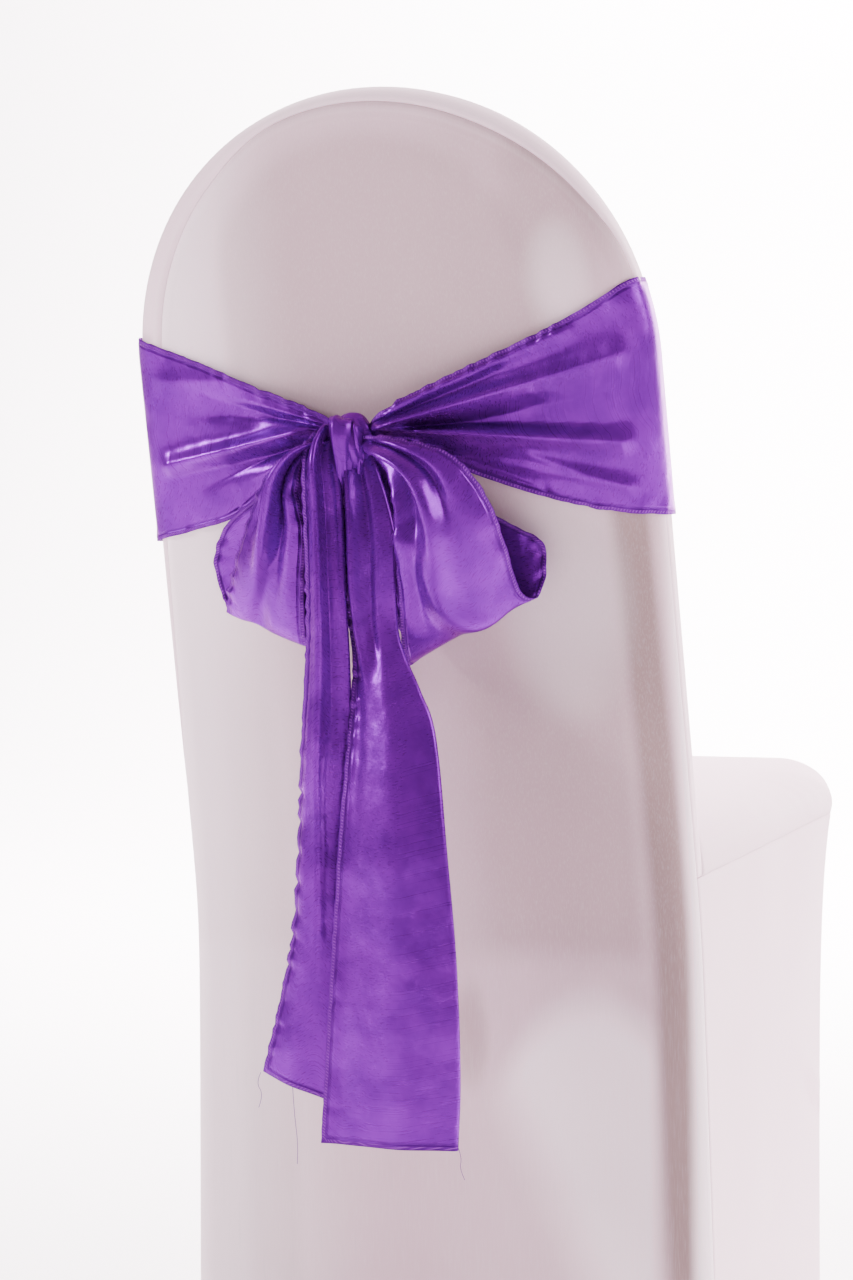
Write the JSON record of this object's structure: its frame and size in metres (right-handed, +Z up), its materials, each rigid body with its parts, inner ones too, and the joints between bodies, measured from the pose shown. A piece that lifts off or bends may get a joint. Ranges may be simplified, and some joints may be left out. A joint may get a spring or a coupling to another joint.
{
  "type": "chair cover with sash",
  "caption": "Fitted stretch cover for a round-topped banquet chair, with a purple satin sash tied in a bow behind the back.",
  "frame": {"origin": "on the floor, under the middle of the cover's bounding box", "axes": "+Z up, +Y towards the front of the seat, +X to the right as seen from behind, where the bow is"},
  "size_m": [0.4254, 0.6386, 1.004],
  "materials": {
    "stretch_cloth": "matt pale grey-lilac stretch knit, slightly see-through",
    "pocket_cloth": "matt rose-beige lined cloth",
    "satin": "shiny purple satin with a stitched hem"
  },
  "bodies": {
    "root": {"back_panel": "stretch_cloth", "front_panel": "stretch_cloth", "seat_panel": "stretch_cloth", "skirt": "stretch_cloth", "foot_pocket_rear_left": "pocket_cloth", "foot_pocket_front_left": "pocket_cloth", "foot_pocket_front_right": "pocket_cloth", "foot_pocket_rear_right": "pocket_cloth", "sash": "satin"}
  },
  "joints": []
}
